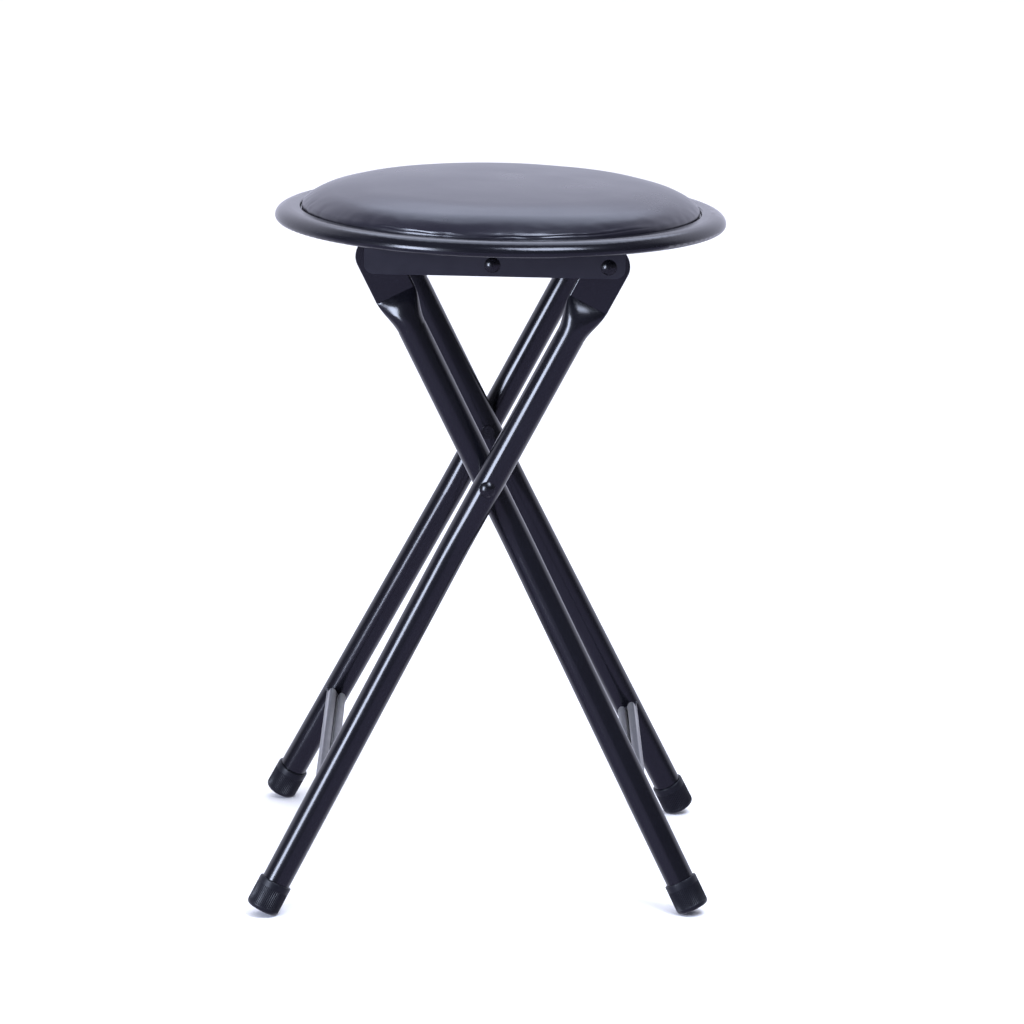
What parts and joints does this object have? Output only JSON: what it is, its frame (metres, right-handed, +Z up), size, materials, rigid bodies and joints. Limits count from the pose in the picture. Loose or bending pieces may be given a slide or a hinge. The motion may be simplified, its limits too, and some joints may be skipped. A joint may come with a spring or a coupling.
{
  "type": "padded folding stool",
  "caption": "Folding stool with a round padded vinyl seat in a rolled-rim steel pan, on crossed bent-tube legs with ribbed foot caps and pressed crossbars.",
  "frame": {"origin": "on the floor, straight under the legs' crossing, which is about 2 mm from the middle of the box", "axes": "+Z up, +X towards the seat's own hinge, -Y towards the front"},
  "size_m": [0.3063, 0.31, 0.4694],
  "materials": {
    "black_enamel": "gloss black stoving enamel on steel",
    "black_vinyl": "smooth semi-gloss black vinyl",
    "foam": "open-cell foam",
    "plywood": "raw plywood",
    "foot_plastic": "matte black moulded plastic",
    "rivet_steel": "blackened steel",
    "zinc_steel": "zinc plated"
  },
  "bodies": {
    "outer_frame": {"outer_leg_front": "black_enamel", "outer_leg_rear": "black_enamel", "outer_crossbar": "black_enamel", "foot_cap_front_left": "foot_plastic", "foot_cap_rear_left": "foot_plastic", "crossing_rivets": "rivet_steel", "crossing_washers": "rivet_steel"},
    "inner_frame": {"inner_leg_front": "black_enamel", "inner_leg_rear": "black_enamel", "inner_crossbar": "black_enamel", "foot_cap_front_right": "foot_plastic", "foot_cap_rear_right": "foot_plastic", "inner_leg_rivets": "rivet_steel"},
    "seat": {"seat_pan": "black_enamel", "seat_board": "plywood", "foam_pad": "foam", "seat_cover": "black_vinyl", "cover_staples": "zinc_steel", "seat_screws": "zinc_steel", "front_bracket": "black_enamel", "rear_bracket": "black_enamel", "seat_pivot_rivets": "rivet_steel", "seat_pivot_washers": "rivet_steel", "link_rivets": "rivet_steel", "link_spacers": "rivet_steel"},
    "link_front": {"front_link": "black_enamel", "front_link_end_rivet": "rivet_steel", "front_link_washer": "rivet_steel"},
    "link_rear": {"rear_link": "black_enamel", "rear_link_end_rivet": "rivet_steel", "rear_link_washer": "rivet_steel"}
  },
  "joints": [
    {"name": "seat_fold", "type": "hinge", "parent": "outer_frame", "child": "seat", "pos_m": [0.075, 0, 0.428], "axis": [0, 1, 0], "range_deg": [0, 110.22]},
    {"name": "leg_scissor", "type": "hinge", "parent": "outer_frame", "child": "inner_frame", "pos_m": [0, 0, 0.28144], "axis": [0, 1, 0], "range_deg": [0, 49.9]},
    {"name": "front_link_turn", "type": "hinge", "parent": "seat", "child": "link_front", "pos_m": [0, 0, 0.428], "axis": [0, 1, 0], "range_deg": [-170.55, 0]},
    {"name": "rear_link_turn", "type": "hinge", "parent": "seat", "child": "link_rear", "pos_m": [0, 0, 0.428], "axis": [0, 1, 0], "range_deg": [-170.55, 0]}
  ],
  "couplings": [
    {"joint": "leg_scissor", "follows": "seat_fold", "ratio": 0.45271},
    {"joint": "front_link_turn", "follows": "seat_fold", "ratio": -1.5473},
    {"joint": "rear_link_turn", "follows": "seat_fold", "ratio": -1.5473}
  ]
}
